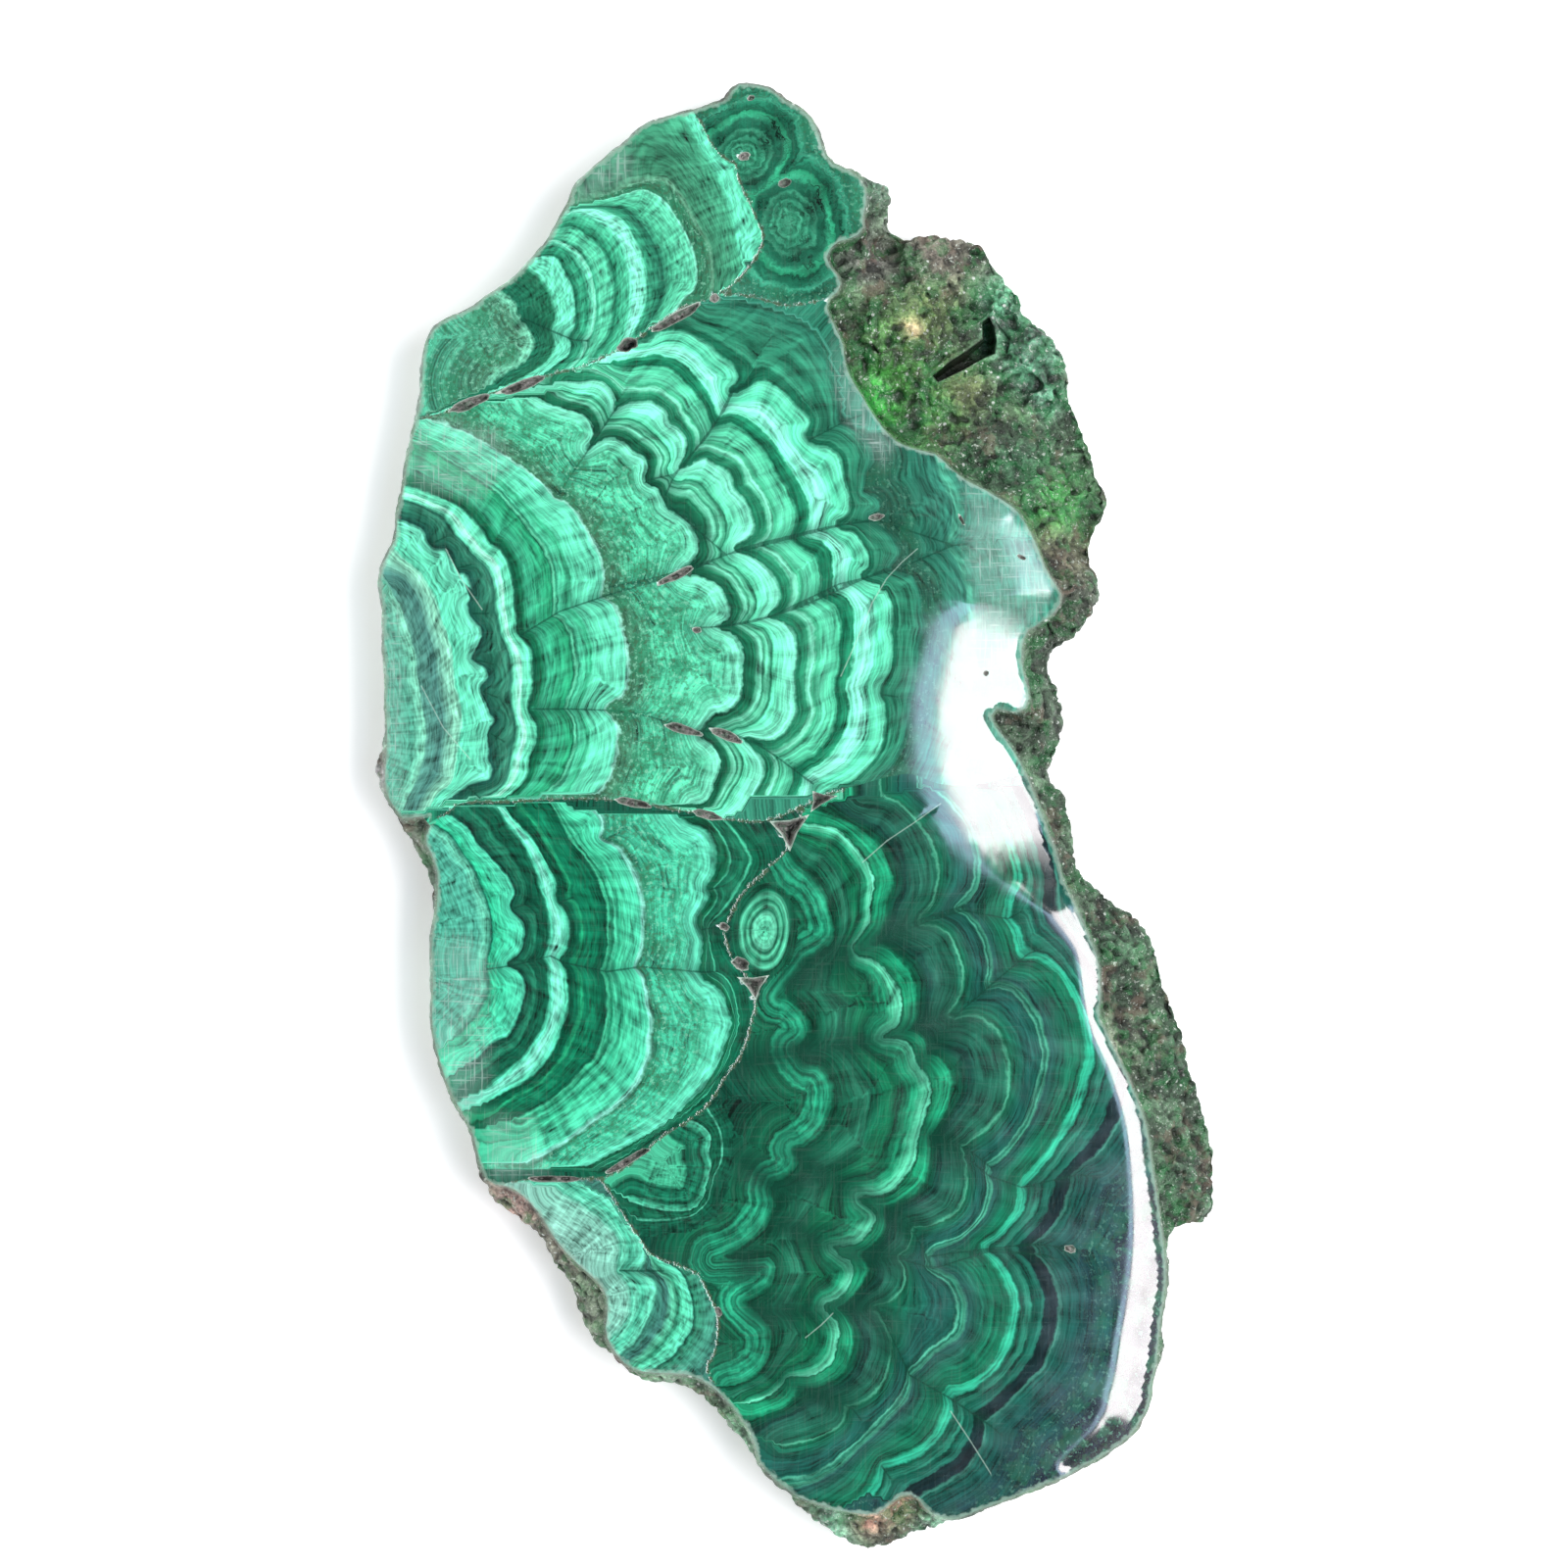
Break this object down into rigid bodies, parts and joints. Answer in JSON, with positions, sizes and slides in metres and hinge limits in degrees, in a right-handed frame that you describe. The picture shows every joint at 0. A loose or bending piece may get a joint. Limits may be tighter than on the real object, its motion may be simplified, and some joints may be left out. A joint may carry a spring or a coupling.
{
  "type": "polished malachite slab",
  "caption": "Flat malachite slab, one stone: mirror-polished banded face, natural rough rind and broken ledge round the edge, sawn flat back.",
  "frame": {"origin": "on the sawn back, under the middle of the slab's bounding box", "axes": "+Y along the slab's length towards its narrow knobbed end, +Z out of the polished face, +X towards the side with the broken ledge"},
  "size_m": [0.0838, 0.1448, 0.009],
  "materials": {
    "malachite": "polished"
  },
  "bodies": {
    "root": {"malachite_slab": "malachite"}
  },
  "joints": []
}
